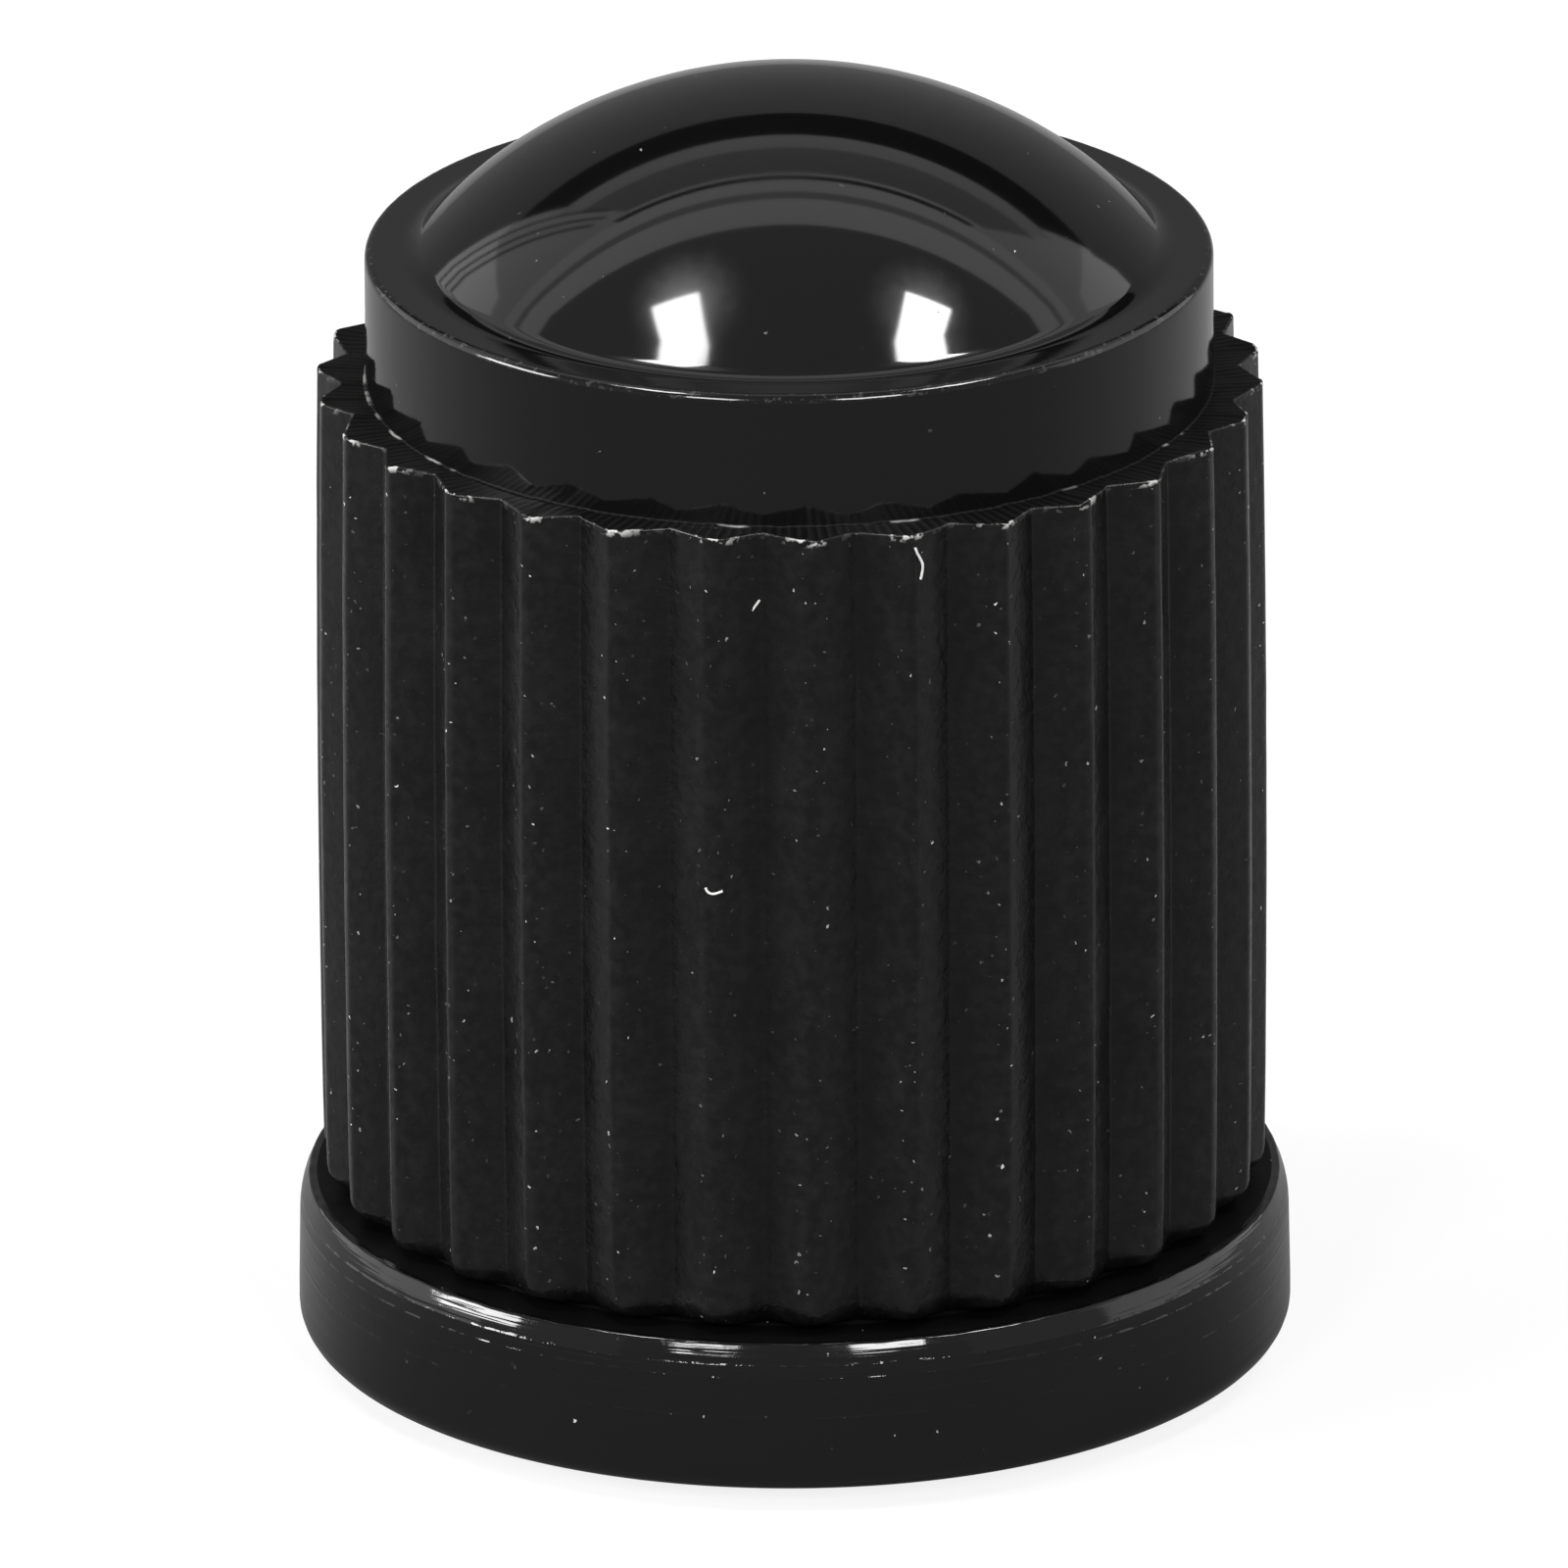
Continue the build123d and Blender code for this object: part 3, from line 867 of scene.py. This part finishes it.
def addStage(name, points, faces, material):
    mesh = bpy.data.meshes.new(name)
    turned = Matrix.Rotation(viewTurn, 3, "Z")
    mesh.from_pydata([turned @ Vector(point) for point in points], [], faces)
    mesh.materials.append(material)
    piece = bpy.data.objects.new(name, mesh)
    bpy.context.collection.objects.link(piece)
    return piece


def emptyMaterial(name):
    material = bpy.data.materials.new(name)
    material.use_nodes = True
    material.node_tree.nodes.clear()
    return material, material.node_tree


def seenDirectly(tree):
    path = addNode(tree, "ShaderNodeLightPath").outputs
    mirrored = calc(tree, "ADD", path["Is Glossy Ray"], path["Is Transmission Ray"])
    return calc(tree, "ADD", path["Is Camera Ray"], mirrored, clamp=True)


def makeFloor():
    half = studio["floorSize"] / 2
    material, tree = emptyMaterial("paleFloor")
    pale = addNode(tree, "ShaderNodeBsdfDiffuse")
    pale.inputs["Color"].default_value = (0.9, 0.9, 0.9, 1)
    white = addNode(tree, "ShaderNodeEmission")
    mix = addNode(tree, "ShaderNodeMixShader")
    feed(tree, mix.inputs[0], calc(tree, "MULTIPLY", seenDirectly(tree), studio["floorWhite"]))
    feed(tree, mix.inputs[1], pale.outputs[0])
    feed(tree, mix.inputs[2], white.outputs[0])
    feed(tree, addNode(tree, "ShaderNodeOutputMaterial").inputs[0], mix.outputs[0])
    corners = [(-half, -half), (half, -half), (half, half), (-half, half)]
    addStage("paleFloor", [(x, y, studio["floorZ"]) for x, y in corners], [(0, 1, 2, 3)], material)


def makeCard():
    # grey card on the floor, lighter towards the sides and back, which shows in the gloss and not to the camera
    count, radius = 48, studio["cardRadius"]
    material, tree = emptyMaterial("greyCard")
    x, y, _ = splitXyz(tree, addNode(tree, "ShaderNodeTexCoord").outputs["Object"])
    angle = calc(tree, "SUBTRACT", calc(tree, "ARCTAN2", x, calc(tree, "MULTIPLY", y, -1.0)), viewTurn)
    away = calc(tree, "ABSOLUTE", angle)
    level = remap(tree, away, math.radians(55), math.radians(120), 0.16, 0.265, smooth=True)
    grey = addNode(tree, "ShaderNodeBsdfDiffuse")
    feed(tree, grey.inputs["Color"], level)
    feed(tree, addNode(tree, "ShaderNodeOutputMaterial").inputs[0], grey.outputs[0])
    ring = [2 * math.pi * k / count for k in range(count)]
    card = addStage("greyCard", [(radius * math.cos(a), radius * math.sin(a), studio["cardZ"]) for a in ring],
                    [tuple(range(count))], material)
    card.visible_camera = False
    card.visible_shadow = False


def makePanel(name, points, level):
    material, tree = emptyMaterial(name)
    glow = addNode(tree, "ShaderNodeEmission")
    glow.inputs["Strength"].default_value = level
    feed(tree, addNode(tree, "ShaderNodeOutputMaterial").inputs[0], glow.outputs[0])
    panel = addStage(name, points, [(0, 1, 2, 3)], material)
    panel.visible_camera = False


def makeGlow(name, points, level, around):
    # fades from its middle to the level of the cloth around it
    material, tree = emptyMaterial(name)
    glow = addNode(tree, "ShaderNodeEmission")
    place = addNode(tree, "ShaderNodeTexCoord").outputs["UV"]
    x, y, _ = splitXyz(tree, place)
    reach = calc(tree, "SQRT", calc(tree, "ADD", calc(tree, "MULTIPLY", x, x), calc(tree, "MULTIPLY", y, y)))
    ragged = calc(tree, "MULTIPLY", calc(tree, "SUBTRACT", noiseIn(tree, place, 5.0, 4.0, 0.65), 0.5), 0.35)
    fade = remap(tree, calc(tree, "ADD", reach, ragged), 0.15, 1.0, 1.0, 0.0)
    fade = calc(tree, "MULTIPLY", calc(tree, "MULTIPLY", fade, fade), level)
    feed(tree, glow.inputs["Strength"], calc(tree, "ADD", fade, around))
    feed(tree, addNode(tree, "ShaderNodeOutputMaterial").inputs[0], glow.outputs[0])
    panel = addStage(name, points, [(0, 1, 2, 3)], material)
    corners = panel.data.uv_layers.new(name="glow")
    for loop, corner in zip(corners.data, ((-1, -1), (1, -1), (1, 1), (-1, 1))):
        loop.uv = corner
    panel.visible_camera = False


def makeTent():
    z0, wall, ceiling, side = studio["tentZ"], studio["wallY"], studio["ceilingZ"], studio["sideX"]
    for name, left, right, bottom, top, level in backPanels:
        y = wall * (1 - studio["foldShare"] * name.startswith("fold"))  # folds hang just before the cloth
        makePanel(name, [(left * wall, y, z0 + bottom * wall), (right * wall, y, z0 + bottom * wall),
                         (right * wall, y, z0 + top * wall), (left * wall, y, z0 + top * wall)], level)

    def overhead(left, right, near, far, z):
        return [(left * ceiling, near * ceiling, z), (right * ceiling, near * ceiling, z),
                (right * ceiling, far * ceiling, z), (left * ceiling, far * ceiling, z)]

    for name, left, right, near, far, level in ceilingPanels:
        makePanel(name, overhead(left, right, near, far, z0 + ceiling), level)
    for name, left, right, near, far, level in glowPanels:
        points = overhead(left, right, near, far, z0 + ceiling * studio["glowShare"])
        makeGlow(name, points, level, studio["ceilingLevel"])
    front, door, far = studio["frontY"], studio["doorY"], studio["farY"]
    walls = [  # name, where it starts and ends, level
        ("leftWall", (-side, door), (-side, far), 1.45),
        ("rightWall", (side, door), (side, far), 1.25),
        ("farWall", (-side, far), (side, far), 1.2),
        ("frontLeft", (-side, door), (-side, front), 0.4),
        ("frontRight", (side, door), (side, front), 0.4),
        ("front", (-side, front), (side, front), 0.3),
    ]
    low, high = 0.0, z0 + ceiling
    for name, start, end, level in walls:
        makePanel(name, [(*start, low), (*end, low), (*end, high), (*start, high)], level)


def makeLamp(name, stands, facesCap, width, depth, level):
    ceiling = studio["ceilingZ"] * studio["lampShare"]
    light = bpy.data.lights.new(name, "AREA")
    light.shape = "RECTANGLE"
    light.size, light.size_y = width * ceiling, depth * ceiling
    light.energy = level * math.pi * light.size * light.size_y
    lamp = bpy.data.objects.new(name, light)
    place = Matrix.Translation(Vector(stands) * ceiling + Vector((0, 0, studio["tentZ"])))
    if facesCap:
        place = place @ Vector(stands).to_track_quat("Z", "Y").to_matrix().to_4x4()
    lamp.matrix_world = Matrix.Rotation(viewTurn, 4, "Z") @ place
    bpy.context.collection.objects.link(lamp)


def makeWorld():
    world = bpy.data.worlds.new("studio")
    world.use_nodes = True
    tree = world.node_tree
    tree.nodes.clear()
    back = addNode(tree, "ShaderNodeBackground")
    feed(tree, back.inputs["Strength"], remap(tree, seenDirectly(tree), 0, 1, studio["worldLevel"], 1.0))
    feed(tree, addNode(tree, "ShaderNodeOutputWorld").inputs[0], back.outputs[0])
    bpy.context.scene.world = world


makeFloor()
makeCard()
makeTent()
for lamp in lamps:
    makeLamp(*lamp)
makeWorld()
bpy.context.scene.view_settings.view_transform = "Standard"
print("studio lit")
